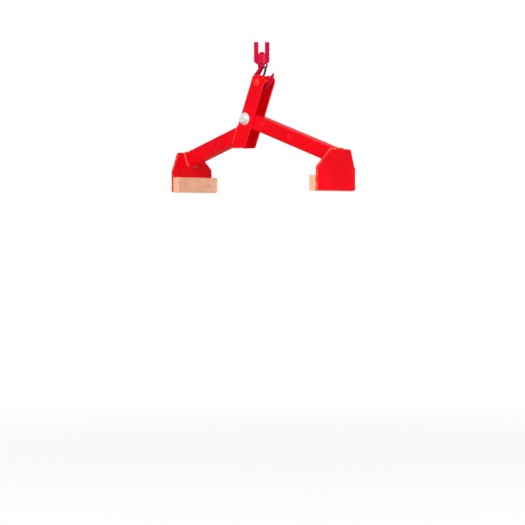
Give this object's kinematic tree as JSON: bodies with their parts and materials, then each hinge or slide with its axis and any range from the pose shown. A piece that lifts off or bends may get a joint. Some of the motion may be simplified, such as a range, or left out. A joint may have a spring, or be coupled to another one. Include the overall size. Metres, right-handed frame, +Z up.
{
  "type": "drum lifter",
  "caption": "Drum lifter that hangs from a swivel hook: a leaning channel mast with one fixed and one swinging box-tube arm, each with a bent jaw plate and a concave pad that grips a drum rim.",
  "frame": {"origin": "centre of the yoke's hoist bore, midway between its ears", "axes": "+X along the arms towards the swinging jaw, +Y towards the back (the pivot nut's side), +Z up"},
  "size_m": [0.633, 0.18, 0.4639],
  "materials": {
    "red_paint": "glossy bright red enamel",
    "hook_paint": "glossy crimson enamel on a forging",
    "zinc": "zinc plated",
    "latch_steel": "dull spring steel",
    "bronze": "plain bearing bronze",
    "pad_rubber": "matt cream rubber"
  },
  "bodies": {
    "yoke": {"yoke": "hook_paint", "swivel_cap": "hook_paint", "thrust_washer": "bronze"},
    "hook": {"hook": "hook_paint", "swivel_nut": "zinc", "nut_pin": "zinc", "latch_rivet": "zinc"},
    "latch": {"latch": "latch_steel"},
    "mast": {"mast_channel": "red_paint", "lifting_pin": "red_paint", "fixed_arm_tube": "red_paint", "fixed_jaw_plate": "red_paint", "fixed_jaw_pad": "pad_rubber", "fixed_pad_screws": "zinc", "pivot_bolt": "zinc", "front_washer": "zinc", "rear_washer": "zinc", "lock_nut": "zinc"},
    "swing_arm": {"swing_arm_tube": "red_paint", "pivot_sleeve": "red_paint", "pivot_bush": "bronze", "heel_block": "red_paint", "thrust_rings": "bronze", "swing_jaw_plate": "red_paint", "swing_jaw_pad": "pad_rubber", "swing_pad_screws": "zinc"}
  },
  "joints": [
    {"name": "hook_swivel", "type": "hinge", "parent": "yoke", "child": "hook", "pos_m": [0, 0, -0.048], "axis": [0, 0, 1], "continuous": true},
    {"name": "latch_swing", "type": "hinge", "parent": "hook", "child": "latch", "pos_m": [0.0175, 0, -0.0593], "axis": [0, -1, 0], "range_deg": [-18, 44]},
    {"name": "lifter_swing", "type": "hinge", "parent": "hook", "child": "mast", "pos_m": [0, 0, -0.112], "axis": [0, 1, 0], "range_deg": [-20, 20]},
    {"name": "arm_swing", "type": "hinge", "parent": "mast", "child": "swing_arm", "pos_m": [-0.0468, 0, -0.22306], "axis": [0, -1, 0], "range_deg": [0, 45]}
  ]
}
